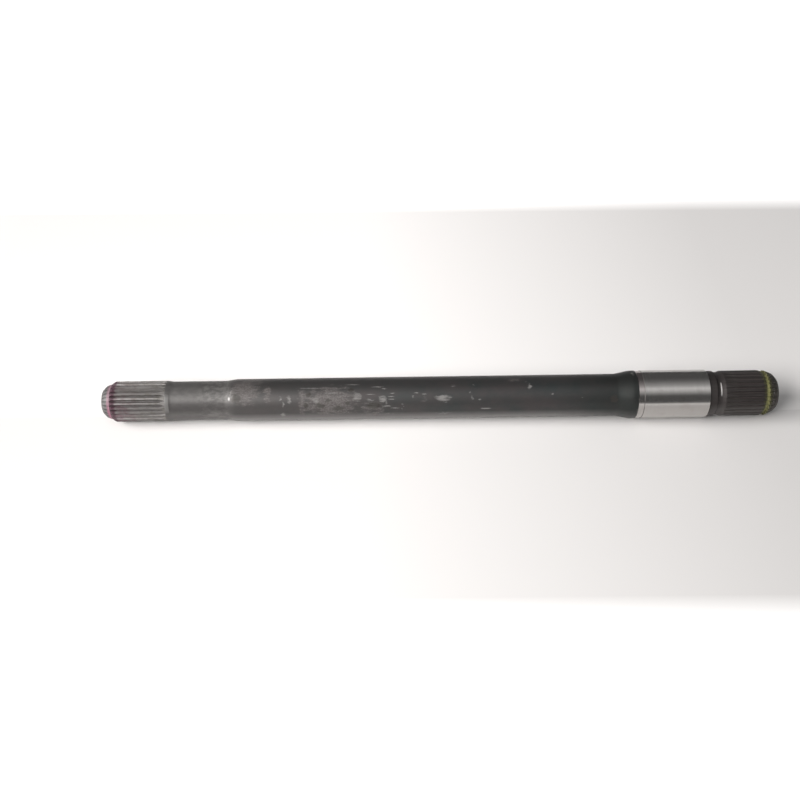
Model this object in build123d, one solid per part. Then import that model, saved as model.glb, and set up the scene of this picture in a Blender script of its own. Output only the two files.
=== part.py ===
from build123d import *
import math
import os

# Axle shaft, turned and ground from one bar of steel, with an involute spline at each end.
# Millimetres. +X runs along the axis to the large end, +Z is up, and the origin is the middle of
# the ground journal. Lengths below are listed from the small end to the large end.

# Small end: chamfered nose, short pilot, spline
SMALL_FACE_CHAMFER = 2.8
SMALL_LEAD_LENGTH = 2.9
SMALL_NOSE_STEP = 2.4
SMALL_PILOT_LENGTH = 0.7
SMALL_TOOTH_START_ANGLE = 33.5
SMALL_SPLINE_LENGTH = 47.2
SMALL_FULL_DEPTH_LENGTH = 42.5
SMALL_CUTTER_RADIUS = 6.0

# Small spline, DIN 5480 W34 x 1.25 x 26
SMALL_REFERENCE_DIAMETER = 34.0

# Small neck, hardened and turned
SMALL_NECK_TAPER_LENGTH = 5.4
SMALL_NECK_DIAMETER = 32.4
SMALL_NECK_LENGTH = 43.7

# Body, left as forged, and the flare that carries it up to the journal
BODY_TAPER_LENGTH = 8.6
TAPER_EASE = 1.5
BODY_DIAMETER = 35.0
BODY_LENGTH = 314.5
FLARE_LENGTH = 13.5
FLARE_EASE = 2.0
COLLAR_DIAMETER = 40.0
COLLAR_LENGTH = 3.5

# Ground journal, with the shallow relief that lets the wheel run out beside the collar
GRINDING_RELIEF_DEPTH = 0.3
GRINDING_RELIEF_LENGTH = 5.0
JOURNAL_DIAMETER = 40.0
JOURNAL_LENGTH = 53.4
JOURNAL_CHAMFER = 0.4

# Large neck and the relief in front of the spline
LARGE_NECK_DIAMETER = 37.6
LARGE_NECK_LENGTH = 5.8
SPLINE_RELIEF_DIAMETER = 35.7
SPLINE_RELIEF_ENTRY_LENGTH = 1.8
SPLINE_RELIEF_FLOOR_LENGTH = 2.7
SPLINE_RELIEF_EXIT_LENGTH = 2.8

# Large spline, DIN 5480 W38 x 1.25 x 29
LARGE_REFERENCE_DIAMETER = 38.0

# Large end: spline, ring groove, chamfered nose
LARGE_SPLINE_LENGTH = 33.8
LARGE_FULL_DEPTH_LENGTH = 22.6
LARGE_CUTTER_RADIUS = 40.0
LARGE_TOOTH_START_STEP = 1.0
LARGE_TOOTH_START_ANGLE = 24.0
LARGE_GROOVE_WIDTH = 2.2
LARGE_GROOVE_DEPTH = 2.4
LARGE_NOSE_STEP = 0.1
LARGE_LEAD_LENGTH = 6.05
LARGE_FACE_CHAMFER = 2.6

# Teeth of both splines. The depth, root flat and root bevel are counted in modules, and the
# clocking is the turn from +Z towards -Y at which each spline has a tooth space.
SPLINE_MODULE = 1.25
PRESSURE_ANGLE = 30.0
TOOTH_DEPTH_IN_MODULES = 1.5
ROOT_FLAT_IN_MODULES = 0.2
ROOT_BEVEL_IN_MODULES = 0.24
SPLINE_CLOCKING = 45.0

# Turned slope of both noses, in degrees from the axis
LEAD_ANGLE = 22.0

# Drilled centres in both faces, which the lathe and the grinder hold the shaft by
CENTRE_CONE_DIAMETER = 10.0
CENTRE_CONE_ANGLE = 60.0
CENTRE_PILOT_DIAMETER = 4.0
CENTRE_PILOT_LENGTH = 7.0
DRILL_POINT_ANGLE = 118.0

CUTTER_OVERRUN = 1.0


def tip_radius(reference_diameter):
    """Outside radius of a DIN 5480 shaft spline."""
    return (reference_diameter - 0.2 * SPLINE_MODULE) / 2


def root_radius(reference_diameter):
    """Radius of the bottom of the tooth spaces."""
    return tip_radius(reference_diameter) - TOOTH_DEPTH_IN_MODULES * SPLINE_MODULE


def tooth_count(reference_diameter):
    """The most teeth that DIN 5480 allows on a reference diameter."""
    return math.floor(reference_diameter / SPLINE_MODULE - 1.1)


small_tip = tip_radius(SMALL_REFERENCE_DIAMETER)
large_tip = tip_radius(LARGE_REFERENCE_DIAMETER)

# Stations along the axis, counted from the small end face
small_lead_end = SMALL_FACE_CHAMFER + SMALL_LEAD_LENGTH
small_spline_start = small_lead_end + SMALL_PILOT_LENGTH
small_spline_end = small_spline_start + SMALL_SPLINE_LENGTH
small_neck_start = small_spline_end + SMALL_NECK_TAPER_LENGTH
small_neck_end = small_neck_start + SMALL_NECK_LENGTH
body_start = small_neck_end + BODY_TAPER_LENGTH
body_end = body_start + BODY_LENGTH
collar_start = body_end + FLARE_LENGTH
collar_end = collar_start + COLLAR_LENGTH
journal_start = collar_end + GRINDING_RELIEF_LENGTH
journal_end = journal_start + JOURNAL_LENGTH
large_neck_start = journal_end + JOURNAL_CHAMFER
large_neck_end = large_neck_start + LARGE_NECK_LENGTH
relief_floor_start = large_neck_end + SPLINE_RELIEF_ENTRY_LENGTH
relief_floor_end = relief_floor_start + SPLINE_RELIEF_FLOOR_LENGTH
large_spline_start = relief_floor_end + SPLINE_RELIEF_EXIT_LENGTH
large_groove_inner = large_spline_start + LARGE_SPLINE_LENGTH
large_groove_outer = large_groove_inner + LARGE_GROOVE_WIDTH
large_face = large_groove_outer + LARGE_LEAD_LENGTH + LARGE_FACE_CHAMFER
journal_middle = (journal_start + journal_end) / 2


def outline_run(start, end):
    """One run of the shaft's outline, between two corners given as (place, radius, ease).

    The run is straight where the second corner's ease is 0. Elsewhere it leaves the first radius
    and meets the second one smoothly, each over about the length of the ease.
    """
    ease = min(end[2], abs(end[0] - start[0]) / 2)
    if ease == 0:
        return Line(start[:2], end[:2])
    return Bezier(start[:2], (start[0] + ease, start[1]), (end[0] - ease, end[1]), end[:2])


def slope_length(rise, angle):
    """Length along the axis that a straight slope takes for its rise."""
    return rise / math.tan(math.radians(angle))


def nose_corners(face, inward, lead_end, nose, lead_length, face_chamfer):
    """Corners of an end, from the bottom of its drilled centre out to the end of its lead slope.

    inward is +1 where the shaft lies on the +X side of the face, and -1 on the other side.
    """
    cone = (CENTRE_CONE_DIAMETER - CENTRE_PILOT_DIAMETER) / 2
    cone_depth = slope_length(cone, CENTRE_CONE_ANGLE / 2)
    pilot_depth = cone_depth + CENTRE_PILOT_LENGTH
    point_depth = slope_length(CENTRE_PILOT_DIAMETER / 2, DRILL_POINT_ANGLE / 2)
    lead_start = nose - lead_length * math.tan(math.radians(LEAD_ANGLE))
    return [
        (face + inward * (pilot_depth + point_depth), 0, 0),
        (face + inward * pilot_depth, CENTRE_PILOT_DIAMETER / 2, 0),
        (face + inward * cone_depth, CENTRE_PILOT_DIAMETER / 2, 0),
        (face, CENTRE_CONE_DIAMETER / 2, 0),
        (face, lead_start - face_chamfer, 0),
        (face + inward * face_chamfer, lead_start, 0),
        (lead_end, nose, 0),
    ]


def small_end_corners():
    """The small end from its drilled centre to the full height of its teeth."""
    nose = small_tip - SMALL_NOSE_STEP
    tooth_start = slope_length(SMALL_NOSE_STEP, SMALL_TOOTH_START_ANGLE)
    corners = nose_corners(0, 1, small_lead_end, nose, SMALL_LEAD_LENGTH, SMALL_FACE_CHAMFER)
    return corners + [
        (small_spline_start, nose, 0),
        (small_spline_start + tooth_start, small_tip, 0),
    ]


def large_end_corners():
    """The large end from its drilled centre, over its ring groove, to the full height of its teeth."""
    nose = large_tip - LARGE_NOSE_STEP
    floor = large_tip - LARGE_GROOVE_DEPTH
    tooth_start = slope_length(LARGE_TOOTH_START_STEP, LARGE_TOOTH_START_ANGLE)
    corners = nose_corners(
        large_face, -1, large_groove_outer, nose, LARGE_LEAD_LENGTH, LARGE_FACE_CHAMFER
    )
    return corners + [
        (large_groove_outer, floor, 0),
        (large_groove_inner, floor, 0),
        (large_groove_inner, large_tip - LARGE_TOOTH_START_STEP, 0),
        (large_groove_inner - tooth_start, large_tip, 0),
    ]


def turned_blank():
    """The bar as it leaves the lathe and the grinder, before the splines are cut."""
    journal = JOURNAL_DIAMETER / 2
    ground_relief = journal - GRINDING_RELIEF_DEPTH
    journal_edge = journal - JOURNAL_CHAMFER
    large_neck = LARGE_NECK_DIAMETER / 2
    middle = [
        (small_spline_end, small_tip, 0),
        (small_neck_start, SMALL_NECK_DIAMETER / 2, TAPER_EASE),
        (small_neck_end, SMALL_NECK_DIAMETER / 2, 0),
        (body_start, BODY_DIAMETER / 2, TAPER_EASE),
        (body_end, BODY_DIAMETER / 2, 0),
        (collar_start, COLLAR_DIAMETER / 2, FLARE_EASE),
        (collar_end, COLLAR_DIAMETER / 2, 0),
        (collar_end + GRINDING_RELIEF_DEPTH, ground_relief, 0),
        (journal_start - GRINDING_RELIEF_DEPTH, ground_relief, 0),
        (journal_start, journal, 0),
        (journal_end, journal, 0),
        (large_neck_start, journal_edge, 0),
        (large_neck_start, large_neck, 0),
        (large_neck_end, large_neck, 0),
        (relief_floor_start, SPLINE_RELIEF_DIAMETER / 2, 0),
        (relief_floor_end, SPLINE_RELIEF_DIAMETER / 2, 0),
        (large_spline_start, large_tip, 0),
    ]
    corners = small_end_corners() + middle + large_end_corners()[::-1]
    runs = [outline_run(start, end) for start, end in zip(corners, corners[1:])]
    axis_line = Line(corners[-1][:2], corners[0][:2])
    return revolve(make_face(runs + [axis_line]), Axis.X)


def involute(angle):
    """Involute function of an angle in radians."""
    return math.tan(angle) - angle


def tooth_space(reference_diameter, top_radius):
    """One tooth space of a DIN 5480 spline, in the plane across the shaft, opening along +Z."""
    teeth = tooth_count(reference_diameter)
    pressure = math.radians(PRESSURE_ANGLE)
    pitch_radius = SPLINE_MODULE * teeth / 2
    base_radius = pitch_radius * math.cos(pressure)
    tip = tip_radius(reference_diameter)
    root = root_radius(reference_diameter)
    profile_shift = (reference_diameter - SPLINE_MODULE * teeth - 1.1 * SPLINE_MODULE) / 2
    tooth_thickness = SPLINE_MODULE * math.pi / 2 + 2 * profile_shift * math.tan(pressure)
    half_tooth_at_base = tooth_thickness / 2 / pitch_radius + involute(pressure)

    def flank_point(radius):
        half_tooth = half_tooth_at_base - involute(math.acos(base_radius / radius))
        half_space = math.pi / teeth - half_tooth
        return radius * math.sin(half_space), radius * math.cos(half_space)

    foot = max(root + ROOT_BEVEL_IN_MODULES * SPLINE_MODULE, base_radius)
    flank = [flank_point(radius) for radius in (foot, (foot + tip) / 2, tip)]
    mirrored = [(-y, z) for y, z in flank]
    flat = ROOT_FLAT_IN_MODULES * SPLINE_MODULE / 2
    outline = [
        Polyline(mirrored[0], (-flat, root), (flat, root), flank[0]),
        ThreePointArc(*flank),
        Polyline(flank[2], (flank[2][0], top_radius), (mirrored[2][0], top_radius), mirrored[2]),
        ThreePointArc(*mirrored),
    ]
    return Plane.YZ * make_face(outline)


def spline_cutter(space, root, run_out_station, face_station, cutter_radius):
    """A tooth space at full depth from the end face to the run-out, then up the cutter's own arc."""
    towards_face = math.copysign(1, face_station - run_out_station)
    section = Pos(X=run_out_station) * space
    full_depth = abs(face_station - run_out_station) + CUTTER_OVERRUN
    straight = extrude(section, amount=full_depth, dir=(towards_face, 0, 0))
    cutter_axis = Axis((run_out_station, 0, root + cutter_radius), (0, towards_face, 0))
    return straight + revolve(section, cutter_axis, 90)


def cut_spline(blank, cutter, teeth):
    """Cuts all the tooth spaces, with one of them on the clocked line of the shaft."""
    pitch = 360 / teeth
    return blank - [Rot(X=SPLINE_CLOCKING + index * pitch) * cutter for index in range(teeth)]


def small_spline_cutter():
    """Cutter of the small spline: a small disc, which leaves a short steep run-out."""
    top = max(small_tip, SMALL_NECK_DIAMETER / 2) + CUTTER_OVERRUN
    space = tooth_space(SMALL_REFERENCE_DIAMETER, top)
    root = root_radius(SMALL_REFERENCE_DIAMETER)
    run_out = small_spline_start + SMALL_FULL_DEPTH_LENGTH
    return spline_cutter(space, root, run_out, 0, SMALL_CUTTER_RADIUS)


def large_spline_cutter():
    """Cutter of the large spline: a hob, which leaves a long shallow run-out."""
    space = tooth_space(LARGE_REFERENCE_DIAMETER, large_tip + CUTTER_OVERRUN)
    root = root_radius(LARGE_REFERENCE_DIAMETER)
    run_out = large_groove_inner - LARGE_FULL_DEPTH_LENGTH
    return spline_cutter(space, root, run_out, large_face, LARGE_CUTTER_RADIUS)


def axle_shaft():
    """The finished shaft, with its origin in the middle of the ground journal."""
    shaft = turned_blank()
    shaft = cut_spline(shaft, small_spline_cutter(), tooth_count(SMALL_REFERENCE_DIAMETER))
    shaft = cut_spline(shaft, large_spline_cutter(), tooth_count(LARGE_REFERENCE_DIAMETER))
    return Pos(X=-journal_middle) * shaft


os.makedirs("parts", exist_ok=True)
shaft = axle_shaft()
export_step(shaft, "parts/axle_shaft.step")
print("overall length", round(large_face, 2), "journal middle", round(journal_middle, 2))
print("volume", round(shaft.volume, 1), "solids", len(shaft.solids()), "faces", len(shaft.faces()))
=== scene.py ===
import math

import bpy
from mathutils import Matrix, Vector


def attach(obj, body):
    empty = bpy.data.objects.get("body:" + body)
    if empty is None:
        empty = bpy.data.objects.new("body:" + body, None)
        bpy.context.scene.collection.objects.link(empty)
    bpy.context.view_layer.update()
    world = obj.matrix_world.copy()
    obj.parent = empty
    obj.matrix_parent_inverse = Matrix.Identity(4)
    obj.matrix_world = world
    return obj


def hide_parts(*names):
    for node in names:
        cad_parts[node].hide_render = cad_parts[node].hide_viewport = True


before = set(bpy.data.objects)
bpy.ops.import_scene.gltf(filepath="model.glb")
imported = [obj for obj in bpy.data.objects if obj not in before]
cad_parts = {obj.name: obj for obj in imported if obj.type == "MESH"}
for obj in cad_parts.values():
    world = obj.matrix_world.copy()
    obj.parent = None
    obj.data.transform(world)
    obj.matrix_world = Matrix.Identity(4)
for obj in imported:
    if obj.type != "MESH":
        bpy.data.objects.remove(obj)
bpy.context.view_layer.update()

# An axle shaft with a spline at each end, lying on a pale floor. The surface is built here at a
# finer mesh than the frame's, on the same sizes, and each zone of it gets its own finish.
# Sizes are millimetres until the mesh is made, and stations count from the small end face.

MM = 0.001

# Small end: nose, pilot, spline, neck
SMALL_FACE_CHAMFER = 2.8
SMALL_LEAD_LENGTH = 2.9
SMALL_NOSE_STEP = 2.4
SMALL_PILOT_LENGTH = 0.7
SMALL_TOOTH_START_ANGLE = 33.5
SMALL_SPLINE_LENGTH = 47.2
SMALL_FULL_DEPTH_LENGTH = 42.5
SMALL_CUTTER_RADIUS = 6.0
SMALL_REFERENCE_DIAMETER = 34.0
SMALL_NECK_TAPER_LENGTH = 5.4
SMALL_NECK_RADIUS = 16.2
SMALL_NECK_LENGTH = 43.7

# Body, flare and collar
BODY_TAPER_LENGTH = 8.6
TAPER_EASE = 1.5
BODY_RADIUS = 17.5
BODY_LENGTH = 314.5
FLARE_LENGTH = 13.5
FLARE_EASE = 2.0
COLLAR_RADIUS = 20.0
COLLAR_LENGTH = 3.5

# Ground journal and what follows it
GRINDING_RELIEF_DEPTH = 0.3
GRINDING_RELIEF_LENGTH = 5.0
JOURNAL_RADIUS = 20.0
JOURNAL_LENGTH = 53.4
JOURNAL_CHAMFER = 0.4
LARGE_NECK_RADIUS = 18.8
LARGE_NECK_LENGTH = 5.8
SPLINE_RELIEF_RADIUS = 17.85
SPLINE_RELIEF_ENTRY_LENGTH = 1.8
SPLINE_RELIEF_FLOOR_LENGTH = 2.7
SPLINE_RELIEF_EXIT_LENGTH = 2.8

# Large end: spline, ring groove, nose
LARGE_REFERENCE_DIAMETER = 38.0
LARGE_SPLINE_LENGTH = 33.8
LARGE_FULL_DEPTH_LENGTH = 22.6
LARGE_CUTTER_RADIUS = 40.0
LARGE_TOOTH_START_STEP = 1.0
LARGE_TOOTH_START_ANGLE = 24.0
LARGE_GROOVE_WIDTH = 2.2
LARGE_GROOVE_DEPTH = 2.4
LARGE_NOSE_STEP = 0.1
LARGE_LEAD_LENGTH = 6.05
LARGE_FACE_CHAMFER = 2.6

# Teeth of both splines, in modules where their names say so, and slopes in degrees
SPLINE_MODULE = 1.25
REFERENCE_ALLOWANCE_IN_MODULES = 1.1
TIP_CLEARANCE_IN_MODULES = 0.2
PRESSURE_ANGLE = 30.0
TOOTH_DEPTH_IN_MODULES = 1.5
ROOT_FLAT_IN_MODULES = 0.2
ROOT_BEVEL_IN_MODULES = 0.24
SPLINE_CLOCKING = 45.0
LEAD_ANGLE = 22.0

# Drilled centres
CENTRE_CONE_RADIUS = 5.0
CENTRE_CONE_LENGTH = 5.2
CENTRE_PILOT_RADIUS = 2.0
CENTRE_PILOT_LENGTH = 7.0
CENTRE_POINT_LENGTH = 1.2
CENTRE_POINT_RADIUS = 0.05

# Mesh: points on a plain ring, on a drilled centre, on the land of a tooth and on each flank, how
# close two may be in millimetres, and the angle past which an edge is sharp
PLAIN_RING_POINTS = 128
CENTRE_RING_POINTS = 48
LAND_POINTS = 3
FLANK_POINTS = 4
CLOSEST_POINTS = 0.01
SHARP_ANGLE = 26.0


def tan(degrees):
    return math.tan(math.radians(degrees))


class Spline:
    """Tooth spaces of one spline, and the cutter that ran out of them at run_out, towards inward."""

    def __init__(self, reference_diameter, run_out, inward, cutter_radius):
        self.teeth = math.floor(reference_diameter / SPLINE_MODULE - REFERENCE_ALLOWANCE_IN_MODULES)
        self.tip = (reference_diameter - TIP_CLEARANCE_IN_MODULES * SPLINE_MODULE) / 2
        self.root = self.tip - TOOTH_DEPTH_IN_MODULES * SPLINE_MODULE
        self.run_out = run_out
        self.inward = inward
        self.cutter_radius = cutter_radius
        self.profile = self.half_space(reference_diameter)

    def half_space(self, reference_diameter):
        """Half of a tooth space's outline as (y, z), from its middle up an involute flank and one step
        past the tip."""
        pitch_radius = SPLINE_MODULE * self.teeth / 2
        base_radius = pitch_radius * math.cos(math.radians(PRESSURE_ANGLE))
        allowance = REFERENCE_ALLOWANCE_IN_MODULES * SPLINE_MODULE
        shift = (reference_diameter - SPLINE_MODULE * self.teeth - allowance) / 2
        thickness = SPLINE_MODULE * math.pi / 2 + 2 * shift * tan(PRESSURE_ANGLE)
        pressure = math.radians(PRESSURE_ANGLE)
        tooth_at_base = thickness / 2 / pitch_radius + math.tan(pressure) - pressure
        points = [(0.0, self.root), (ROOT_FLAT_IN_MODULES * SPLINE_MODULE / 2, self.root)]
        foot = self.root + ROOT_BEVEL_IN_MODULES * SPLINE_MODULE
        for step in range(FLANK_POINTS + 1):
            radius = foot + (self.tip - foot) * step / (FLANK_POINTS - 1)
            angle = math.acos(base_radius / radius)
            half = math.pi / self.teeth - (tooth_at_base - (math.tan(angle) - angle))
            points.append((radius * math.sin(half), radius * math.cos(half)))
        return points

    def lifted(self, station):
        """The half outline where the cutter has climbed out by its own radius."""
        climb = max(0.0, (station - self.run_out) * self.inward)
        points = []
        for y, z in self.profile:
            reach = self.cutter_radius - (z - self.root)
            if climb >= reach:
                break
            points.append((y, self.root + self.cutter_radius - math.sqrt(reach**2 - climb**2)))
        return points

    def edge(self, points, blank_radius):
        """How far from its middle the tooth space meets the blank, or None where it doesn't cut it."""
        if not points or math.hypot(*points[0]) >= blank_radius - CLOSEST_POINTS:
            return None
        for (y0, z0), (y1, z1) in zip(points, points[1:]):
            low, high = math.hypot(y0, z0), math.hypot(y1, z1)
            if high >= blank_radius:
                return y0 + (y1 - y0) * (blank_radius - low) / (high - low)
        return points[-1][0]

    def half_gap(self, station, blank_radius):
        """(angle, radius) of the points from the middle of a tooth space to its edge on the blank."""
        count = len(self.profile)
        points = self.lifted(station)
        edge = self.edge(points, blank_radius)
        if edge is None:
            return [(math.atan2(y, z), blank_radius) for y, z in self.profile]
        gap = []
        for index, (nominal, _) in enumerate(self.profile):
            y = min(nominal, edge - CLOSEST_POINTS * (count - 1 - index))
            y = max(y, edge * index / (count - 1) / 2)
            z = height_at(points, y)
            angle, radius = math.atan2(y, z), math.hypot(y, z)
            gap.append((angle, min(radius, blank_radius)))
        return gap

    def ring(self, station, blank_radius):
        """All (angle, radius) points round the shaft at a station, in order of their angle."""
        gap = self.half_gap(station, blank_radius)
        pitch = 2 * math.pi / self.teeth
        edge_angle = gap[-1][0]
        land = []
        for step in range(1, LAND_POINTS + 1):
            offset = edge_angle + (pitch - 2 * edge_angle) * step / (LAND_POINTS + 1)
            land.append((offset, blank_radius))
        tooth = [(-angle, radius) for angle, radius in gap[:0:-1]] + gap + land
        points = []
        for index in range(self.teeth):
            start = math.radians(SPLINE_CLOCKING) + index * pitch
            points += [(start + angle, radius) for angle, radius in tooth]
        return sorted((angle % (2 * math.pi), radius) for angle, radius in points)


def height_at(points, y):
    """Height of an outline of (y, z) points at y, straight between its points."""
    for (y0, z0), (y1, z1) in zip(points, points[1:]):
        if y <= y1:
            return z0 + (z1 - z0) * (y - y0) / (y1 - y0)
    return points[-1][1]


def plain_ring(radius, count):
    return [(2 * math.pi * index / count, radius) for index in range(count)]


# Stations of the outline
small_lead_end = SMALL_FACE_CHAMFER + SMALL_LEAD_LENGTH
small_spline_start = small_lead_end + SMALL_PILOT_LENGTH
small_teeth_start = small_spline_start + SMALL_NOSE_STEP / tan(SMALL_TOOTH_START_ANGLE)
small_run_out = small_spline_start + SMALL_FULL_DEPTH_LENGTH
small_spline_end = small_spline_start + SMALL_SPLINE_LENGTH
small_neck_start = small_spline_end + SMALL_NECK_TAPER_LENGTH
small_neck_end = small_neck_start + SMALL_NECK_LENGTH
body_start = small_neck_end + BODY_TAPER_LENGTH
body_end = body_start + BODY_LENGTH
collar_start = body_end + FLARE_LENGTH
collar_end = collar_start + COLLAR_LENGTH
journal_start = collar_end + GRINDING_RELIEF_LENGTH
journal_end = journal_start + JOURNAL_LENGTH
large_neck_start = journal_end + JOURNAL_CHAMFER
large_neck_end = large_neck_start + LARGE_NECK_LENGTH
relief_floor_start = large_neck_end + SPLINE_RELIEF_ENTRY_LENGTH
relief_floor_end = relief_floor_start + SPLINE_RELIEF_FLOOR_LENGTH
large_spline_start = relief_floor_end + SPLINE_RELIEF_EXIT_LENGTH
large_groove_inner = large_spline_start + LARGE_SPLINE_LENGTH
large_run_out = large_groove_inner - LARGE_FULL_DEPTH_LENGTH
large_groove_outer = large_groove_inner + LARGE_GROOVE_WIDTH
large_nose_start = large_groove_outer + LARGE_LEAD_LENGTH
large_face = large_nose_start + LARGE_FACE_CHAMFER
journal_middle = (journal_start + journal_end) / 2

small_spline = Spline(SMALL_REFERENCE_DIAMETER, small_run_out, 1, SMALL_CUTTER_RADIUS)
large_spline = Spline(LARGE_REFERENCE_DIAMETER, large_run_out, -1, LARGE_CUTTER_RADIUS)


def centre_runs(face, inward):
    """Runs of a drilled centre, from the bottom of its pilot hole out to the end face."""
    pilot_end = face + inward * (CENTRE_CONE_LENGTH + CENTRE_PILOT_LENGTH)
    return [
        (pilot_end + inward * CENTRE_POINT_LENGTH, CENTRE_POINT_RADIUS, "centre", 1, 0),
        (pilot_end, CENTRE_PILOT_RADIUS, "centre", 1, 0),
        (face + inward * CENTRE_CONE_LENGTH, CENTRE_PILOT_RADIUS, "centre", 1, 0),
        (face, CENTRE_CONE_RADIUS, "centre", 2, 0),
    ]


def outline():
    """Corners from one drilled centre to the other: station, radius, and of the run that ends there
    its finish, its steps and its ease."""
    small_nose = small_spline.tip - SMALL_NOSE_STEP
    small_lead = small_nose - SMALL_LEAD_LENGTH * tan(LEAD_ANGLE)
    large_nose = large_spline.tip - LARGE_NOSE_STEP
    large_lead = large_nose - LARGE_LEAD_LENGTH * tan(LEAD_ANGLE)
    large_floor = large_spline.tip - LARGE_GROOVE_DEPTH
    large_start = large_spline.tip - LARGE_TOOTH_START_STEP
    large_teeth = large_groove_inner - LARGE_TOOTH_START_STEP / tan(LARGE_TOOTH_START_ANGLE)
    ground_relief = JOURNAL_RADIUS - GRINDING_RELIEF_DEPTH
    return centre_runs(0, 1) + [
        (0, small_lead - SMALL_FACE_CHAMFER, "small_end", 2, 0),
        (SMALL_FACE_CHAMFER, small_lead, "small_end", 4, 0),
        (small_lead_end, small_nose, "small_end", 8, 0),
        (small_spline_start, small_nose, "small_end", 2, 0),
        (small_teeth_start, small_spline.tip, "small_end", 12, 0),
        (small_run_out, small_spline.tip, "small_end", 20, 0),
        (small_spline_end, small_spline.tip, "small_end", 18, 0),
        (small_neck_start, SMALL_NECK_RADIUS, "middle", 8, TAPER_EASE),
        (small_neck_end, SMALL_NECK_RADIUS, "middle", 12, 0),
        (body_start, BODY_RADIUS, "middle", 8, TAPER_EASE),
        (body_end, BODY_RADIUS, "middle", 60, 0),
        (collar_start, COLLAR_RADIUS, "middle", 14, FLARE_EASE),
        (collar_end, COLLAR_RADIUS, "middle", 2, 0),
        (collar_end + GRINDING_RELIEF_DEPTH, ground_relief, "journal", 1, 0),
        (journal_start - GRINDING_RELIEF_DEPTH, ground_relief, "journal", 2, 0),
        (journal_start, JOURNAL_RADIUS, "journal", 1, 0),
        (journal_end, JOURNAL_RADIUS, "journal", 12, 0),
        (large_neck_start, JOURNAL_RADIUS - JOURNAL_CHAMFER, "journal", 1, 0),
        (large_neck_start, LARGE_NECK_RADIUS, "large_end", 1, 0),
        (large_neck_end, LARGE_NECK_RADIUS, "large_end", 3, 0),
        (relief_floor_start, SPLINE_RELIEF_RADIUS, "large_end", 3, 0),
        (relief_floor_end, SPLINE_RELIEF_RADIUS, "large_end", 2, 0),
        (large_spline_start, large_spline.tip, "large_end", 8, 0),
        (large_run_out, large_spline.tip, "large_end", 18, 0),
        (large_teeth, large_spline.tip, "large_end", 10, 0),
        (large_groove_inner, large_start, "large_end", 5, 0),
        (large_groove_inner, large_floor, "large_end", 1, 0),
        (large_groove_outer, large_floor, "large_end", 2, 0),
        (large_groove_outer, large_nose, "large_end", 1, 0),
        (large_nose_start, large_lead, "large_end", 8, 0),
        (large_face, large_lead - LARGE_FACE_CHAMFER, "large_end", 3, 0),
    ] + [
        (station, radius, "centre", steps, 0)
        for station, radius, _, steps, _ in centre_runs(large_face, -1)[::-1]
    ]


def eased(start, end, ease, share):
    """Station and radius a share of the way along a run, on the curve that its ease gives."""
    if ease == 0:
        return start[0] + (end[0] - start[0]) * share, start[1] + (end[1] - start[1]) * share
    places = [start[0], start[0] + ease, end[0] - ease, end[0]]
    radii = [start[1], start[1], end[1], end[1]]
    rest = 1 - share
    weights = [rest**3, 3 * rest**2 * share, 3 * rest * share**2, share**3]
    station = sum(weight * place for weight, place in zip(weights, places))
    return station, sum(weight * radius for weight, radius in zip(weights, radii))


def ring_at(station, radius, finish):
    """The ring of points for a place on the outline: toothed near a spline, plain elsewhere."""
    if finish == "centre" or radius <= CENTRE_CONE_RADIUS:
        return plain_ring(radius, CENTRE_RING_POINTS)
    if station <= small_spline_end:
        return small_spline.ring(station, radius)
    if station >= relief_floor_end - CLOSEST_POINTS:
        return large_spline.ring(station, radius)
    return plain_ring(radius, PLAIN_RING_POINTS)


def strip(first, second):
    """Faces between two rings, each a list of (angle, vertex), looking from outside."""
    if len(first) == len(second):
        return [
            (first[i][1], first[(i + 1) % len(first)][1], second[(i + 1) % len(first)][1], second[i][1])
            for i in range(len(first))
        ]
    faces = []
    i = j = 0
    turn = 2 * math.pi
    while i < len(first) or j < len(second):
        next_first = first[i + 1][0] if i + 1 < len(first) else turn + first[0][0]
        next_second = second[j + 1][0] if j + 1 < len(second) else turn + second[0][0]
        corner_first = first[i % len(first)][1]
        corner_second = second[j % len(second)][1]
        if j >= len(second) or (i < len(first) and next_first <= next_second):
            faces.append((corner_first, first[(i + 1) % len(first)][1], corner_second))
            i += 1
        else:
            faces.append((corner_first, second[(j + 1) % len(second)][1], corner_second))
            j += 1
    return faces


def shaft_mesh(slots):
    """The whole surface of the shaft as one closed mesh, with a material slot for each finish."""
    corners = outline()
    vertices = []
    faces = []
    finishes = []

    def add_ring(station, radius, finish):
        ring = []
        for angle, distance in ring_at(station, radius, finish):
            ring.append((angle, len(vertices)))
            place = (station - journal_middle, -distance * math.sin(angle), distance * math.cos(angle))
            vertices.append([value * MM for value in place])
        return ring

    def cap(ring, inside_out):
        order = [vertex for _, vertex in ring]
        faces.append(tuple(order[::-1] if inside_out else order))
        finishes.append("centre")

    last = add_ring(*corners[0][:3])
    cap(last, True)
    for start, end in zip(corners, corners[1:]):
        finish, steps, ease = end[2:]
        for step in range(1, steps + 1):
            station, radius = eased(start, end, ease, step / steps)
            ring = add_ring(station, radius, finish)
            new_faces = strip(last, ring)
            faces.extend(new_faces)
            finishes.extend([finish] * len(new_faces))
            last = ring
    cap(last, False)

    mesh = bpy.data.meshes.new("axle_shaft_surface")
    mesh.from_pydata(vertices, [], faces)
    names = list(slots)
    for name in names:
        mesh.materials.append(slots[name])
    mesh.polygons.foreach_set("material_index", [names.index(finish) for finish in finishes])
    mesh.shade_smooth()
    mesh.set_sharp_from_angle(angle=math.radians(SHARP_ANGLE))
    mesh.validate()
    return mesh


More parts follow.
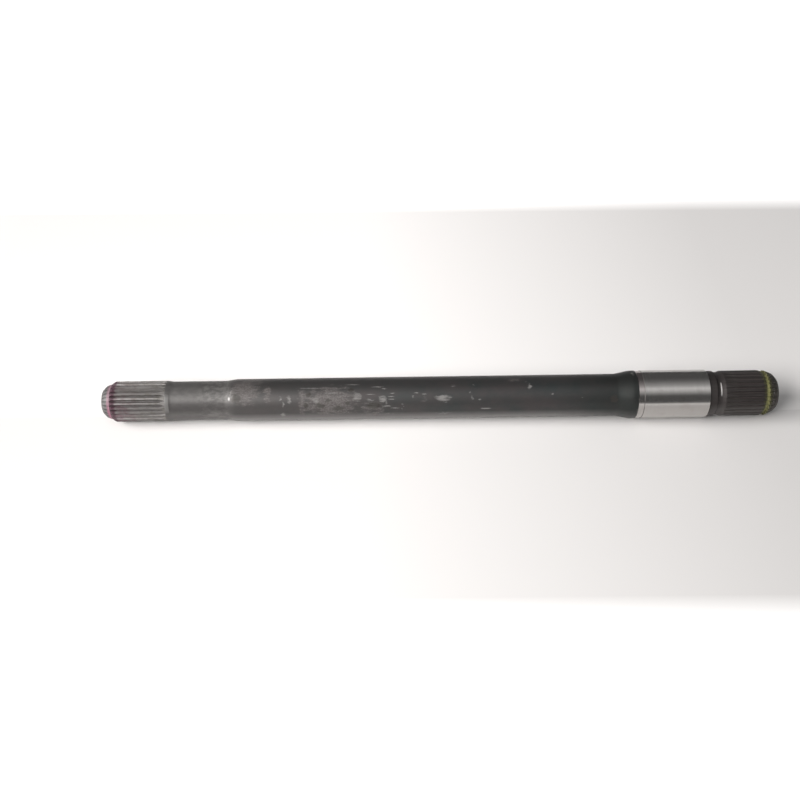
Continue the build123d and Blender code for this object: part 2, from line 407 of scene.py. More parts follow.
class NodeTree:
    """A tree of nodes, laid one call a node."""

    def __init__(self, tree):
        self.nodes = tree.nodes
        self.links = tree.links

    def put(self, socket, value):
        """Link an output to a socket, or give the socket a value."""
        if isinstance(value, bpy.types.NodeSocket):
            self.links.new(value, socket)
        else:
            socket.default_value = value

    def add(self, kind, *values):
        """A new node, with the values in its first inputs."""
        node = self.nodes.new(kind)
        for socket, value in zip(node.inputs, values):
            self.put(socket, value)
        return node

    def math(self, operation, *values):
        node = self.add("ShaderNodeMath", *values)
        node.operation = operation
        return node.outputs[0]

    def vector(self, operation, *values):
        node = self.add("ShaderNodeVectorMath", *values)
        node.operation = operation
        return node.outputs["Value" if operation == "LENGTH" else "Vector"]

    def times(self, *values):
        product = values[0]
        for value in values[1:]:
            product = self.math("MULTIPLY", product, value)
        return product

    def most(self, *values):
        largest = values[0]
        for value in values[1:]:
            largest = self.math("MAXIMUM", largest, value)
        return largest

    def remap(self, value, low, high, to_low=0.0, to_high=1.0):
        """value from low to high as to_low to to_high, and no further."""
        return self.add("ShaderNodeMapRange", value, low, high, to_low, to_high).outputs[0]

    def band(self, value, low, high, soft=0.1):
        """1 between low and high, and falling to 0 over the soft distance outside them."""
        return self.times(self.remap(value, low - soft, low), self.remap(value, high + soft, high))


# Marks: the noise that moves them, how many degrees it moves them round the shaft for each
# millimetre along it, and the strength over which their edges fade in
WOBBLE_NOISE = {"along": 260, "across": 420, "detail": 4, "roughness": 0.6}
DEGREES_PER_MILLIMETRE = 3.5
MARK_FADE = 0.12


class Shader(NodeTree):
    """A material's nodes.

    station is in millimetres along the shaft, around in degrees from +Z towards -Y, and radius in
    millimetres from the axis.
    """

    def __init__(self, name):
        self.material = bpy.data.materials.new(name)
        self.material.use_nodes = True
        super().__init__(self.material.node_tree)
        self.surface = self.nodes["Principled BSDF"]
        self.place = self.add("ShaderNodeTexCoord").outputs["Object"]
        x, y, z = self.add("ShaderNodeSeparateXYZ", self.place).outputs
        self.station = self.math("MULTIPLY_ADD", x, 1 / MM, journal_middle)
        front = self.math("MULTIPLY", y, -1)
        self.around = self.math("DEGREES", self.math("ARCTAN2", front, z))
        across = self.math("ADD", self.math("MULTIPLY", y, y), self.math("MULTIPLY", z, z))
        self.radius = self.math("MULTIPLY", self.math("SQRT", across), 1 / MM)

    def noise(self, along, across, detail=3.0, roughness=0.5):
        """Noise with so many waves to the metre along the shaft and across it."""
        node = self.add("ShaderNodeTexNoise", self.vector("MULTIPLY", self.place, (along, across, across)))
        node.inputs["Scale"].default_value = 1
        node.inputs["Detail"].default_value = detail
        node.inputs["Roughness"].default_value = roughness
        return node.outputs[0]

    def mix(self, share, first, second):
        """The first colour, with a share of the second."""
        node = self.add("ShaderNodeMix")
        node.data_type = "RGBA"
        for index, value in ((0, share), (6, first), (7, second)):
            if isinstance(value, tuple):
                value = (*value, 1)
            self.put(node.inputs[index], value)
        return node.outputs[2]

    def marks(self, marks, wobble):
        """The most of a list of oval marks, each of its strength in the middle and 0 at its edge.
        Their places are moved by so many millimetres of noise."""
        shift = self.math("SUBTRACT", self.noise(**WOBBLE_NOISE), 0.5)
        moved = self.math("MULTIPLY_ADD", shift, wobble, self.station)
        turned = self.math("MULTIPLY_ADD", shift, DEGREES_PER_MILLIMETRE * wobble, self.around)
        place = self.add("ShaderNodeCombineXYZ", moved, turned).outputs[0]
        total = 0.0
        for station, around, half_length, half_width, strength in marks:
            scale = (strength / half_length, strength / half_width, 0)
            offset = (-station * scale[0], -around * scale[1], 0)
            distance = self.vector("LENGTH", self.vector("MULTIPLY_ADD", place, scale, offset))
            total = self.most(total, self.math("SUBTRACT", strength, distance))
        return total

    def ragged(self, field, noise, depth, low, high):
        """A mask from a field of marks, with edges that the noise breaks up."""
        level = self.math("MULTIPLY_ADD", noise, depth, field)
        edge = self.remap(level, low + depth / 2, high + depth / 2)
        return self.times(self.remap(field, 0, MARK_FADE), edge)

    def ticks(self, spline, low, high):
        """1 in line with the tooth spaces of a spline, and 0 in line with its teeth."""
        turn = self.times(self.math("SUBTRACT", self.around, SPLINE_CLOCKING), spline.teeth)
        return self.remap(self.math("COSINE", self.math("RADIANS", turn)), low, high)

    def bump(self, height, distance):
        """A normal for a height of 0 to 1 that stands for so many millimetres."""
        node = self.add("ShaderNodeBump")
        node.inputs["Distance"].default_value = distance * MM
        self.put(node.inputs["Height"], height)
        return node.outputs[0]

    def set(self, **values):
        """Give the surface's inputs their values, by their names with _ for a space."""
        for name, value in values.items():
            if isinstance(value, tuple):
                value = (*value, 1)
            self.put(self.surface.inputs[name.replace("_", " ")], value)


CENTRE_STEEL = (0.4, 0.38, 0.37)


def drilled_centre_finish():
    shader = Shader("drilled_centre")
    shader.set(Base_Color=CENTRE_STEEL, Metallic=1, Roughness=0.45)
    return shader.material


# Paint of both ends: how far its edges blur and how far they wander, in millimetres
PAINT_BLUR = 0.15
PAINT_WANDER = 1.6

# Small end: stations of its paint, and the degrees round it over which the lower side begins
LIGHT_PINK_START = 5.5
LIGHT_PINK_END = 7.6
DARK_PINK_END = 12.0
PINK_STAIN_END = 34.0
STAINED_SIDE = (20, 60)
LIGHT_PINK_SHADED_SIDE = (35, 85)

# Colours of the small end
SPLINE_GREY = (0.124, 0.116, 0.114)
SPLINE_BRIGHT = (0.2, 0.192, 0.188)
SPLINE_OIL = (0.09, 0.086, 0.068)
SPLINE_GAP = (0.06, 0.054, 0.052)
NOSE_GREY = (0.108, 0.106, 0.104)
NOSE_GAP_SHADE = (0.024, 0.022, 0.022)
PINK_STAIN = (0.12, 0.06, 0.08)
LIGHT_PINK_LIT = (0.21, 0.14, 0.16)
LIGHT_PINK_SHADED = (0.23, 0.092, 0.132)
LIGHT_PINK_GAP_SHADE = (0.12, 0.066, 0.084)
DARK_PINK_DEEP = (0.036, 0.012, 0.02)
DARK_PINK_PALE = (0.068, 0.026, 0.042)
TOOTH_POINT_SHADE = (0.028, 0.012, 0.016)


def small_end_finish():
    """Grey steel, darker between the teeth, light pink paint behind the nose, paler above and darker
    below by painted light, and dark pink paint on the tooth starts, partly painted shade."""
    shader = Shader("small_end_steel")
    station, around = shader.station, shader.around
    streaks = shader.noise(along=60, across=900, detail=4, roughness=0.6)
    blotches = shader.noise(along=160, across=260, detail=5, roughness=0.65)
    fine = shader.noise(along=1500, across=1500)
    colour = shader.mix(shader.remap(streaks, 0.35, 0.65), SPLINE_GREY, SPLINE_BRIGHT)
    colour = shader.mix(shader.remap(blotches, 0.45, 0.65, 0, 0.6), colour, SPLINE_OIL)
    # Darker colour in the tooth spaces
    gap = shader.remap(shader.radius, small_spline.tip - 0.25, small_spline.root + 0.6)
    teeth = shader.remap(station, small_teeth_start - 2, small_teeth_start)
    colour = shader.mix(shader.times(gap, teeth, 0.25), colour, SPLINE_GAP)
    nose = shader.remap(station, small_lead_end, small_lead_end - 0.8)
    tick = shader.ticks(small_spline, 0.1, 0.9)
    colour = shader.mix(nose, colour, NOSE_GREY)
    edge = shader.math("MULTIPLY_ADD", blotches, PAINT_WANDER, station)
    light = shader.times(
        shader.remap(edge, LIGHT_PINK_START - 0.1, LIGHT_PINK_START + 1.1),
        shader.remap(station, LIGHT_PINK_END + PAINT_BLUR, LIGHT_PINK_END - PAINT_BLUR),
    )
    dark = shader.times(
        shader.remap(station, LIGHT_PINK_END - PAINT_BLUR, LIGHT_PINK_END + PAINT_BLUR),
        shader.remap(edge, DARK_PINK_END + PAINT_WANDER, DARK_PINK_END + 0.2),
    )
    # Painted shade: dark points where the tooth spaces start
    pointed_shade = shader.times(
        tick,
        shader.remap(station, LIGHT_PINK_END, LIGHT_PINK_END + 0.6),
        shader.remap(station, DARK_PINK_END + 2.6, DARK_PINK_END),
    )
    stain = shader.times(
        shader.remap(station, DARK_PINK_END, PINK_STAIN_END, 0.8, 0),
        shader.remap(blotches, 0.4, 0.6),
        shader.remap(around, *STAINED_SIDE, 0.3, 1),
        teeth,
    )
    colour = shader.mix(stain, colour, PINK_STAIN)
    # Painted light: the light pink is paler above, and darker and deeper below
    low = shader.remap(around, *LIGHT_PINK_SHADED_SIDE)
    colour = shader.mix(light, colour, shader.mix(low, LIGHT_PINK_LIT, LIGHT_PINK_SHADED))
    # Dark pink paint on the starts of the teeth, its darkness partly painted shade
    pink_paint_and_shade = shader.mix(shader.remap(fine, 0.4, 0.6), DARK_PINK_DEEP, DARK_PINK_PALE)
    colour = shader.mix(dark, colour, pink_paint_and_shade)
    colour = shader.mix(shader.times(pointed_shade, 0.85), colour, TOOTH_POINT_SHADE)
    # Painted shade: dark ticks in line with the tooth spaces, on the nose and in the light pink
    colour = shader.mix(shader.times(nose, tick, 0.95), colour, NOSE_GAP_SHADE)
    colour = shader.mix(shader.times(light, tick, 0.4), colour, LIGHT_PINK_GAP_SHADE)
    paint = shader.most(light, dark, nose)
    shader.set(
        Base_Color=colour,
        Metallic=shader.remap(paint, 0, 1, 0.5, 0.1),
        Roughness=shader.remap(blotches, 0.3, 0.7, 0.48, 0.62),
        Normal=shader.bump(fine, distance=0.01),
    )
    return shader.material


# Marks on the neck and the forged body: station, place around, half length, half width in degrees
# and strength. Those past 140 degrees or below -50 are out of the photograph's sight.
# Pale scuffs; the marks at stations 106.8, 439.9 and 442.2 are painted highlights on edges
PALE_MARKS_AND_HIGHLIGHTS = [
    (106.8, 42, 0.9, 7, 0.8),
    (108.4, 24, 1.2, 15, 0.5),
    (148.8, 44, 1.3, 9, 0.75),
    (151.3, 60, 1.3, 9, 0.7),
    (150.9, 92, 2.4, 10, 0.7),
    (156.0, 45, 1.8, 14, 0.5),
    (178.3, 50, 3.4, 10, 0.55),
    (211.5, 42, 5.0, 15, 0.5),
    (233.2, 48, 4.2, 10, 0.85),
    (236.0, 58, 1.2, 8, 0.6),
    (223.0, 49, 4.4, 3, 0.5),
    (282.4, 46, 8.6, 8, 0.8),
    (284.0, 53, 5.0, 6, 0.7),
    (291.0, 13, 3.0, 5, 0.35),
    (283.0, 93, 8.0, 5, 0.4),
    (306.6, 48, 1.5, 6, 0.45),
    (312.3, 52, 1.6, 4, 0.5),
    (304.8, 34, 1.0, 4, 0.3),
    (307.7, 11, 1.3, 4, 0.3),
    (258.0, 43, 1.3, 5, 0.4),
    (249.0, 64, 1.4, 5, 0.4),
    (249.0, 77, 1.0, 4, 0.4),
    (354.0, 20, 1.6, 14, 0.5),
    (351.2, 5, 2.6, 4, 0.35),
    (372.7, 41, 1.4, 5, 0.6),
    (396.3, 50, 0.9, 3, 0.35),
    (439.9, -12, 1.2, 10, 0.3),
    (442.2, 90, 0.8, 10, 0.3),
    (330.0, 170, 6.0, 8, 0.6),
    (260.0, -120, 4.0, 9, 0.6),
    (170.0, 165, 3.0, 14, 0.5),
    (400.0, -95, 2.0, 8, 0.5),
    (215.0, -80, 7.0, 6, 0.5),
]
SCRATCHES = [
    (175.0, 15, 15.0, 2.0, 0.5),
    (208.0, 5, 8.0, 2.0, 0.5),
    (228.5, 13.4, 6.5, 2.2, 0.6),
    (234.0, 19, 3.4, 2.0, 0.6),
    (222.5, 35, 5.5, 1.8, 0.45),
    (241.0, 32.6, 3.2, 1.8, 0.7),
    (240.0, 41.4, 3.4, 1.8, 0.6),
    (240.5, 49.0, 3.6, 1.8, 0.6),
    (236.0, 67.5, 4.6, 3.0, 0.6),
    (243.0, 73.5, 4.6, 2.0, 0.7),
    (260.5, 32.5, 3.2, 2.4, 0.5),
    (267.0, 36.0, 3.4, 3.0, 0.35),
    (317.5, 79, 5.6, 2.4, 1.0),
    (190.0, 30, 9.0, 2.0, 0.4),
    (365.0, 175, 12.0, 2.2, 0.6),
    (300.0, -100, 16.0, 2.0, 0.5),
    (140.0, -90, 9.0, 2.2, 0.5),
]
BROWN_PATCHES = [
    (119.0, 18, 15.0, 50, 0.9),
    (121.0, -30, 22.0, 34, 0.6),
    (138.2, 30, 4.2, 28, 0.7),
    (167.0, 56, 4.0, 54, 0.6),
    (190.0, 55, 27.0, 56, 0.8),
    (224.0, 72, 12.0, 22, 0.5),
    (228.0, 96, 20.0, 12, 0.45),
    (343.0, -5, 8.0, 8, 0.45),
    (267.0, 48, 4.0, 14, 0.25),
    (130.0, -120, 16.0, 40, 0.7),
    (240.0, 178, 24.0, 34, 0.7),
    (240.0, -178, 24.0, 34, 0.7),
    (345.0, -140, 20.0, 30, 0.6),
    (400.0, 150, 14.0, 20, 0.4),
]
DARK_PATCHES = [
    (112.5, 41, 5.0, 16, 0.7),
    (169.7, 62, 2.2, 8, 0.9),
    (181.6, 64, 5.0, 7, 0.8),
    (207.0, 22, 3.0, 7, 0.8),
    (204.1, 57, 3.2, 6, 0.8),
    (188.0, 50, 4.0, 6, 0.8),
    (172.5, 34, 3.0, 6, 0.8),
    (197.0, 72, 8.0, 7, 0.7),
    (226.0, 66, 8.0, 12, 0.8),
    (423.0, 56, 3.8, 14, 0.8),
    (396.3, 54, 1.0, 3, 0.5),
]

# Neck and forged body: stations of their wear, and how far the edge between them wanders
NECK_EDGE = 107.0
NECK_EDGE_WANDER = 12.0
NECK_RIM = (53.5, 56.4)
WORN_NECK = (88, 110)
BROWNER_BODY = (330, 120)
DARK_FLARE_LENGTH = 50

# The same round them, in degrees
TOP_REFLECTION_SIDE = (15, -30)
LOWER_REFLECTION_SIDE = (116, 140)
SHADED_NECK_SIDE = (56, 74)
NECK_RIM_HIGHLIGHT_SIDE = (38, 72)
NECK_GLINT_SIDE = (41, 43)

# Colours of the neck and the forged body
SCALE_COLD = (0.05, 0.056, 0.056)
SCALE_WARM = (0.07, 0.064, 0.064)
SCALE_BROWN = (0.104, 0.096, 0.094)
SCALE_TOP_REFLECTION = (0.14, 0.134, 0.132)
SCALE_LOWER_REFLECTION = (0.25, 0.244, 0.24)
SCALE_FLARE = (0.028, 0.032, 0.03)
NECK_DARK = (0.092, 0.088, 0.086)
NECK_PALE = (0.12, 0.116, 0.112)
NECK_WORN = (0.18, 0.174, 0.168)
NECK_PAINTED_SHADE = (0.04, 0.036, 0.036)
NECK_RIM_HIGHLIGHT = (0.24, 0.236, 0.23)
NECK_GLINT = (0.4, 0.394, 0.38)
RUST_DARK = (0.072, 0.062, 0.06)
RUST_PALE = (0.132, 0.122, 0.118)
DARK_PATCH = (0.056, 0.052, 0.048)
SCUFFED_STEEL_AND_HIGHLIGHTS = (0.2, 0.194, 0.188)


def middle_finish():
    """Turned dull grey neck, forged body in dark scale with scuffs and rust, and painted light and shade.
    """
    shader = Shader("neck_and_forged_body")
    station, around = shader.station, shader.around
    broad = shader.noise(along=40, across=60, detail=4, roughness=0.6)
    mottle = shader.noise(along=210, across=330, detail=5, roughness=0.65)
    fine = shader.noise(along=700, across=1000, detail=4, roughness=0.65)
    lines = shader.noise(along=2600, across=60, detail=3, roughness=0.6)
    streaky = shader.noise(along=130, across=520, detail=5, roughness=0.65)
    scale = shader.mix(shader.remap(broad, 0.35, 0.65), SCALE_COLD, SCALE_WARM)
    scale = shader.mix(shader.remap(station, *BROWNER_BODY, 0, 0.6), scale, SCALE_BROWN)
    # Painted reflection: the scale is paler towards its top and on its underside
    scale = shader.mix(shader.remap(around, *TOP_REFLECTION_SIDE, 0, 0.6), scale, SCALE_TOP_REFLECTION)
    lower_reflection = shader.band(around, *LOWER_REFLECTION_SIDE, soft=30)
    scale = shader.mix(shader.times(lower_reflection, 0.9), scale, SCALE_LOWER_REFLECTION)
    flare = shader.remap(station, body_end - DARK_FLARE_LENGTH, body_end + 2)
    scale = shader.mix(shader.times(flare, 0.7), scale, SCALE_FLARE)
    neck = shader.mix(shader.remap(mottle, 0.35, 0.7), NECK_DARK, NECK_PALE)
    worn = shader.times(shader.band(station, *WORN_NECK, soft=10), shader.remap(mottle, 0.45, 0.62), 0.6)
    neck = shader.mix(worn, neck, NECK_WORN)
    # Painted shade: a darker band along one side of the neck
    neck_shade = shader.band(around, *SHADED_NECK_SIDE, soft=16)
    neck = shader.mix(shader.times(neck_shade, 0.6), neck, NECK_PAINTED_SHADE)
    # Painted highlight on the rim between the small spline and the neck
    rim_highlight = shader.times(
        shader.band(station, *NECK_RIM, soft=0.6),
        shader.band(around, *NECK_RIM_HIGHLIGHT_SIDE, soft=14),
    )
    neck = shader.mix(shader.times(rim_highlight, 0.6), neck, NECK_RIM_HIGHLIGHT)
    edge = shader.math("MULTIPLY_ADD", mottle, NECK_EDGE_WANDER, station)
    body_share = shader.remap(edge, NECK_EDGE + 4.6, NECK_EDGE + 7.8)
    brown = shader.ragged(shader.marks(BROWN_PATCHES, wobble=9.0), streaky, 2.0, 0.05, 0.45)
    rust = shader.mix(shader.remap(fine, 0.38, 0.62), RUST_DARK, RUST_PALE)
    scale = shader.mix(shader.times(brown, 0.85), scale, rust)
    dark = shader.ragged(shader.marks(DARK_PATCHES, wobble=4.0), mottle, 1.2, 0.05, 0.35)
    scale = shader.mix(dark, scale, DARK_PATCH)
    # Pale scuffs, and painted highlights on the edges
    pale = shader.ragged(shader.marks(PALE_MARKS_AND_HIGHLIGHTS, wobble=5.0), streaky, 1.8, 0.0, 0.6)
    scratches = shader.ragged(shader.marks(SCRATCHES, wobble=1.2), fine, 0.9, 0.05, 0.45)
    colour = shader.mix(body_share, neck, scale)
    bright = shader.most(pale, scratches)
    colour = shader.mix(shader.times(bright, 0.8), colour, SCUFFED_STEEL_AND_HIGHLIGHTS)
    glint = shader.times(
        shader.band(station, NECK_EDGE - 0.5, NECK_EDGE, soft=0.6),
        shader.band(around, *NECK_GLINT_SIDE, soft=5),
    )
    colour = shader.mix(glint, colour, NECK_GLINT)
    wear_and_highlights = shader.most(shader.times(brown, 0.8), bright)
    shader.set(
        Base_Color=colour,
        Metallic=shader.times(
            shader.remap(body_share, 0, 1, 0.45, 0.8),
            shader.remap(wear_and_highlights, 0, 1, 1, 0.1),
        ),
        Roughness=shader.remap(mottle, 0.3, 0.7, 0.46, 0.56),
        Normal=shader.bump(shader.math("ADD", fine, shader.times(lines, 0.5)), distance=0.006),
    )
    return shader.material


# Ground journal: its colours, and the degrees round it over which painted reflection on the relief fades
# in
GROUND_STEEL_DARK = (0.425, 0.41, 0.397)
GROUND_STEEL_BRIGHT = (0.51, 0.492, 0.476)
JOURNAL_STAIN = (0.3, 0.27, 0.255)
RELIEF_TINT_AND_REFLECTION = (0.3, 0.22, 0.226)
PAINTED_STEP_SHADE = (0.11, 0.104, 0.1)
REFLECTING_RELIEF_SIDE = (50, 20)


def journal_finish():
    """Ground steel with lines round it, a tinted relief band, and painted shade on the step beside that.
    """
    shader = Shader("ground_steel")
    lines = shader.noise(along=5200, across=40, detail=3, roughness=0.6)
    stains = shader.noise(along=90, across=140, detail=5, roughness=0.6)
    step_start = journal_start - GRINDING_RELIEF_DEPTH
    # The relief is duller and redder all round, and more so on its upper side as painted reflection
    relief = shader.times(
        shader.remap(shader.station, journal_start + GRINDING_RELIEF_DEPTH, step_start),
        shader.remap(shader.around, *REFLECTING_RELIEF_SIDE, 0.05, 0.4),
    )
    colour = shader.mix(shader.remap(lines, 0.3, 0.7), GROUND_STEEL_DARK, GROUND_STEEL_BRIGHT)
    colour = shader.mix(shader.remap(stains, 0.55, 0.75, 0, 0.3), colour, JOURNAL_STAIN)
    colour = shader.mix(relief, colour, RELIEF_TINT_AND_REFLECTION)
    # Painted shade on the step, with a rougher surface, that dims its glint
    step = shader.band(shader.station, step_start, journal_start, soft=0.05)
    colour = shader.mix(step, colour, PAINTED_STEP_SHADE)
    shader.set(
        Base_Color=colour,
        Metallic=1.0,
        Roughness=shader.remap(step, 0, 1, 0.2, 0.65),
        Normal=shader.bump(lines, distance=0.004),
    )
    return shader.material


# Large end: places round it in degrees
LARGE_REFLECTING_SIDE = (92, 125)
YELLOW_WIDER_SIDE = (-10, 35)
RELIEF_GLINT_SIDE = (24, 44)

# Colours of the large end
LARGE_STEEL_DARK = (0.03, 0.025, 0.024)
LARGE_STEEL_PALE = (0.04, 0.035, 0.034)
LARGE_LOWER_REFLECTION = (0.1, 0.094, 0.09)
LARGE_PAINTED_GAP_LIGHT = (0.084, 0.072, 0.068)
LARGE_PAINTED_RUN_OUT_LIGHT = (0.08, 0.072, 0.068)
LARGE_NOSE = (0.048, 0.044, 0.034)
LARGE_NOSE_GAP_SHADE = (0.02, 0.018, 0.016)
NOSE_SPECK = (0.4, 0.4, 0.38)
OLIVE_STAIN = (0.048, 0.048, 0.016)
YELLOW_DEEP = (0.19, 0.188, 0.072)
YELLOW_PALE = (0.28, 0.27, 0.12)
YELLOW_GAP_SHADE = (0.09, 0.09, 0.032)
RELIEF_GLINT = (0.8, 0.77, 0.75)


def large_end_finish():
    """Dark brown oiled steel, with yellow paint in the ring groove and olive stains beside it."""
    shader = Shader("large_end_steel")
    station, around = shader.station, shader.around
    streaks = shader.noise(along=50, across=700, detail=4, roughness=0.6)
    blotches = shader.noise(along=200, across=260, detail=5, roughness=0.65)
    fine = shader.noise(along=1500, across=1500)
    colour = shader.mix(shader.remap(streaks, 0.35, 0.65), LARGE_STEEL_DARK, LARGE_STEEL_PALE)
    # Painted reflection: paler on the underside
    low = shader.band(around, *LARGE_REFLECTING_SIDE, soft=18)
    colour = shader.mix(shader.times(low, 0.5), colour, LARGE_LOWER_REFLECTION)
    # Painted light: lighter tooth spaces and run-out flanks, offsetting their shade
    gap = shader.remap(shader.radius, large_spline.tip - 0.1, large_spline.root + 0.6)
    teeth = shader.remap(station, large_spline_start - 1, large_spline_start)
    colour = shader.mix(shader.times(gap, teeth, 0.6), colour, LARGE_PAINTED_GAP_LIGHT)
    shallow = shader.remap(station, large_run_out, large_run_out - 3)
    side = shader.remap(shader.radius, large_spline.tip - 0.02, large_spline.tip - 0.3)
    colour = shader.mix(shader.times(shallow, side, teeth, 0.5), colour, LARGE_PAINTED_RUN_OUT_LIGHT)
    nose = shader.remap(station, large_groove_outer, large_groove_outer + 0.2)
    tick = shader.ticks(large_spline, 0.2, 0.9)
    colour = shader.mix(shader.times(nose, shader.remap(blotches, 0.4, 0.6)), colour, LARGE_NOSE)
    # Painted shade: dark ticks on the nose in line with the tooth spaces
    colour = shader.mix(shader.times(nose, tick, 0.6), colour, LARGE_NOSE_GAP_SHADE)
    specks = shader.times(nose, shader.remap(fine, 0.62, 0.7))
    colour = shader.mix(specks, colour, NOSE_SPECK)
    edge = shader.math("MULTIPLY_ADD", blotches, PAINT_WANDER, station)
    olive = shader.times(shader.band(edge, large_groove_inner - 1.0, large_groove_outer + 2.4, 0.8), 0.7)
    colour = shader.mix(olive, colour, OLIVE_STAIN)
    start = shader.remap(around, *YELLOW_WIDER_SIDE, large_groove_inner + 0.9, large_groove_inner - 0.2)
    yellow = shader.times(
        shader.remap(shader.math("SUBTRACT", station, start), -0.2, 0),
        shader.remap(station, large_groove_outer + 0.1, large_groove_outer - 0.1),
    )
    paint = shader.mix(shader.remap(blotches, 0.4, 0.6), YELLOW_DEEP, YELLOW_PALE)
    # Yellow paint, darker in line with the tooth spaces as painted shade
    colour = shader.mix(yellow, colour, shader.mix(shader.times(tick, 0.5), paint, YELLOW_GAP_SHADE))
    glint = shader.times(
        shader.band(station, relief_floor_end - 1.3, relief_floor_end - 0.7, soft=0.3),
        shader.band(around, *RELIEF_GLINT_SIDE, soft=10),
    )
    shader.set(
        Base_Color=shader.mix(glint, colour, RELIEF_GLINT),
        Metallic=shader.most(glint, shader.remap(shader.most(olive, yellow), 0, 1, 0.5, 0)),
        Roughness=shader.remap(glint, 0, 1, 0.58, 0.3),
        Normal=shader.bump(fine, distance=0.01),
    )
    return shader.material


def finishes():
    return {
        "centre": drilled_centre_finish(),
        "small_end": small_end_finish(),
        "middle": middle_finish(),
        "journal": journal_finish(),
        "large_end": large_end_finish(),
    }


def add_shaft():
    shaft = bpy.data.objects.new("axle_shaft_surface", shaft_mesh(finishes()))
    bpy.context.scene.collection.objects.link(shaft)
    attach(shaft, "root")
    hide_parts("axle_shaft")


# Floor, which touches the collar and the teeth of the small spline. Its width is in metres. Its
# colour has painted shade over stations to the left and the right, and painted light behind the shaft.
FLOOR_WIDTH = 12.0
FLOOR_COLOUR = (0.83, 0.816, 0.808)
FLOOR_ROUGHNESS = 0.7
FLOOR_LEFT = (-120, 240)
FLOOR_LEFT_PAINTED_SHADE = 0.83
FLOOR_RIGHT = (260, 600)
FLOOR_RIGHT_PAINTED_SHADE = 0.77
FLOOR_BEHIND_PAINTED_LIGHT = 1.13
FRONT_TO_BACK = (30, -30)

# Past these distances from the shaft, in millimetres, it glows white behind and in front. In front
# the glow fades away over a second distance.
WHITE_FLOOR_LIGHT = 0.6
WHITE_FLOOR_BEHIND = 318.0
WHITE_FLOOR_IN_FRONT = 198.0
WHITE_FLOOR_TURN = (-45, 45)
WHITE_FLOOR_EDGE = 30.0
FADING_FLOOR = (360.0, 1100.0)


def floor_material():
    """Pale matt floor, whose white part glows for the camera and in metal, and lights nothing else."""
    shader = Shader("pale_floor")
    left = shader.remap(shader.station, *FLOOR_LEFT, FLOOR_LEFT_PAINTED_SHADE, 1)
    right = shader.remap(shader.station, *FLOOR_RIGHT, 1, FLOOR_RIGHT_PAINTED_SHADE)
    behind = shader.remap(shader.around, *FRONT_TO_BACK, 1 / FLOOR_BEHIND_PAINTED_LIGHT, 1)
    plain = tuple(FLOOR_BEHIND_PAINTED_LIGHT * value for value in FLOOR_COLOUR)
    colour = shader.mix(shader.times(left, right, behind), (0, 0, 0), plain)
    near = shader.remap(shader.around, *WHITE_FLOOR_TURN, WHITE_FLOOR_BEHIND, WHITE_FLOOR_IN_FRONT)
    past = shader.math("SUBTRACT", shader.radius, near)
    white = shader.times(
        shader.remap(past, -WHITE_FLOOR_EDGE / 2, WHITE_FLOOR_EDGE / 2),
        shader.most(
            shader.remap(shader.radius, *FADING_FLOOR, 1, 0),
            shader.remap(shader.around, *FRONT_TO_BACK),
        ),
    )
    path = shader.add("ShaderNodeLightPath").outputs
    seen = shader.most(path["Is Camera Ray"], path["Is Glossy Ray"], path["Is Transmission Ray"])
    shader.set(
        Base_Color=colour,
        Roughness=FLOOR_ROUGHNESS,
        Emission_Color=(1, 1, 1),
        Emission_Strength=shader.times(white, seen, WHITE_FLOOR_LIGHT),
    )
    return shader.material


def add_floor():
    contact = Vector(((collar_start - journal_middle) * MM, 0, -COLLAR_RADIUS * MM))
    rise = (COLLAR_RADIUS - small_spline.tip) / (collar_start - small_teeth_start)
    half = FLOOR_WIDTH / 2
    square = [(-half, -half), (half, -half), (half, half), (-half, half)]
    mesh = bpy.data.meshes.new("floor")
    mesh.from_pydata([(x, y, -x * rise) for x, y in square], [], [(0, 1, 2, 3)])
    mesh.materials.append(floor_material())
    floor = bpy.data.objects.new("floor", mesh)
    floor.location = contact
    bpy.context.scene.collection.objects.link(floor)


# Light of the room, by degrees round the shaft from the front horizon over the top to the back
ROOM_LIGHT = [
    (0, 0.12),
    (36, 0.12),
    (46, 0.36),
    (58, 0.74),
    (66, 0.92),
    (70, 1.1),
    (74, 0.85),
    (85, 0.53),
    (98, 0.34),
    (110, 0.2),
    (125, 0.12),
    (180, 0.12),
]
BRIGHTEST_ROOM_LIGHT = 1.2

# Directions that rise less than this have at least the horizon's light. The light overhead falls to
# its level at the sides from one share of a direction along the shaft to the other.
HORIZON_HEIGHT = 0.05
HORIZON_LIGHT = 0.2
ROOM_SIDES = (0.45, 0.75)
SIDE_ROOM_LIGHT = 0.15


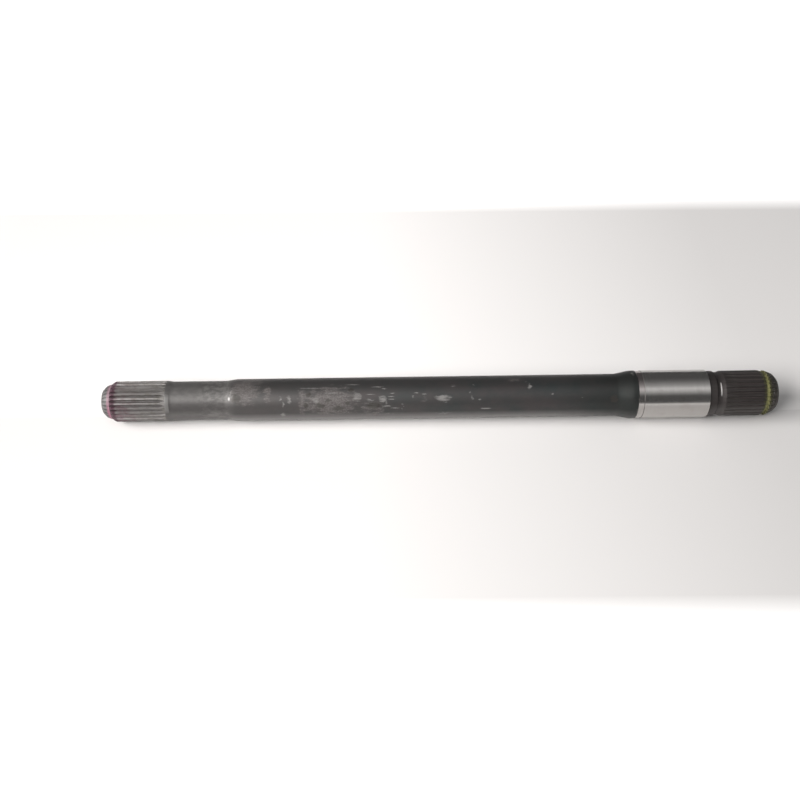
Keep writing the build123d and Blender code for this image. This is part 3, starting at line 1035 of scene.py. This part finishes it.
def add_room_light():
    """A dark room with a broad light overhead, and pale where it meets the floor."""
    world = bpy.data.worlds.new("room")
    world.use_nodes = True
    bpy.context.scene.world = world
    tree = NodeTree(world.node_tree)
    direction = tree.add("ShaderNodeTexCoord").outputs["Generated"]
    x, y, z = tree.add("ShaderNodeSeparateXYZ", direction).outputs
    turn = tree.math("ARCTAN2", z, tree.math("MULTIPLY", y, -1))
    ramp = tree.add("ShaderNodeValToRGB", tree.math("DIVIDE", turn, math.pi))
    elements = ramp.color_ramp.elements
    while len(elements) > 1:
        elements.remove(elements[-1])
    for index, (angle, level) in enumerate(ROOM_LIGHT):
        element = elements[0] if index == 0 else elements.new(angle / 180)
        element.position = angle / 180
        element.color = [level / BRIGHTEST_ROOM_LIGHT] * 3 + [1]
    room = tree.times(ramp.outputs[0], BRIGHTEST_ROOM_LIGHT)
    side = tree.remap(tree.math("ABSOLUTE", x), *ROOM_SIDES, 1, SIDE_ROOM_LIGHT)
    horizon = tree.times(tree.math("LESS_THAN", z, HORIZON_HEIGHT), HORIZON_LIGHT)
    background = tree.nodes["Background"]
    tree.put(background.inputs["Color"], (1, 1, 1, 1))
    tree.put(background.inputs["Strength"], tree.most(tree.times(room, side), horizon))


# Camera: across the shaft from 45 degrees above, rolled a little as the photograph is. It aims
# CAMERA_DOWN degrees below the axis. Its distance and its place along the shaft are in metres.
CAMERA_LENS = 41.08
CAMERA_SENSOR = 36.0
CAMERA_DISTANCE = 0.7657
CAMERA_ELEVATION = 45.0
CAMERA_PLACE = -0.22735
CAMERA_DOWN = 0.144
CAMERA_ROLL = 0.81

# Lamps: name, place and size in metres, and power in watts
LAMPS = [
    ("left_lamp", (-2.9, -0.62, 1.7), 1.6, 116.0),
    ("front_lamp", (-1.6, -1.5, 1.5), 0.8, 44.0),
]
LAMP_COLOUR = (1.0, 0.98, 0.965)


def add_lamp(name, place, size, power):
    """A square soft lamp that faces the middle of the picture."""
    data = bpy.data.lights.new(name, "AREA")
    data.size = size
    data.energy = power
    data.color = LAMP_COLOUR
    lamp = bpy.data.objects.new(name, data)
    lamp.location = place
    lamp.rotation_mode = "QUATERNION"
    lamp.rotation_quaternion = (Vector((CAMERA_PLACE, 0, 0)) - Vector(place)).to_track_quat("-Z", "Y")
    bpy.context.scene.collection.objects.link(lamp)


def add_camera():
    data = bpy.data.cameras.new("camera")
    data.lens = CAMERA_LENS
    data.sensor_width = CAMERA_SENSOR
    camera = bpy.data.objects.new("camera", data)
    elevation = math.radians(CAMERA_ELEVATION)
    back = -CAMERA_DISTANCE * math.cos(elevation)
    camera.location = (CAMERA_PLACE, back, CAMERA_DISTANCE * math.sin(elevation))
    pitch = math.radians(90 - CAMERA_ELEVATION - CAMERA_DOWN)
    turned = Matrix.Rotation(pitch, 3, "X") @ Matrix.Rotation(-math.radians(CAMERA_ROLL), 3, "Z")
    camera.rotation_euler = turned.to_euler()
    bpy.context.scene.collection.objects.link(camera)
    bpy.context.scene.camera = camera


add_shaft()
add_floor()
add_room_light()
for lamp in LAMPS:
    add_lamp(*lamp)
add_camera()
bpy.context.scene.view_settings.view_transform = "Standard"
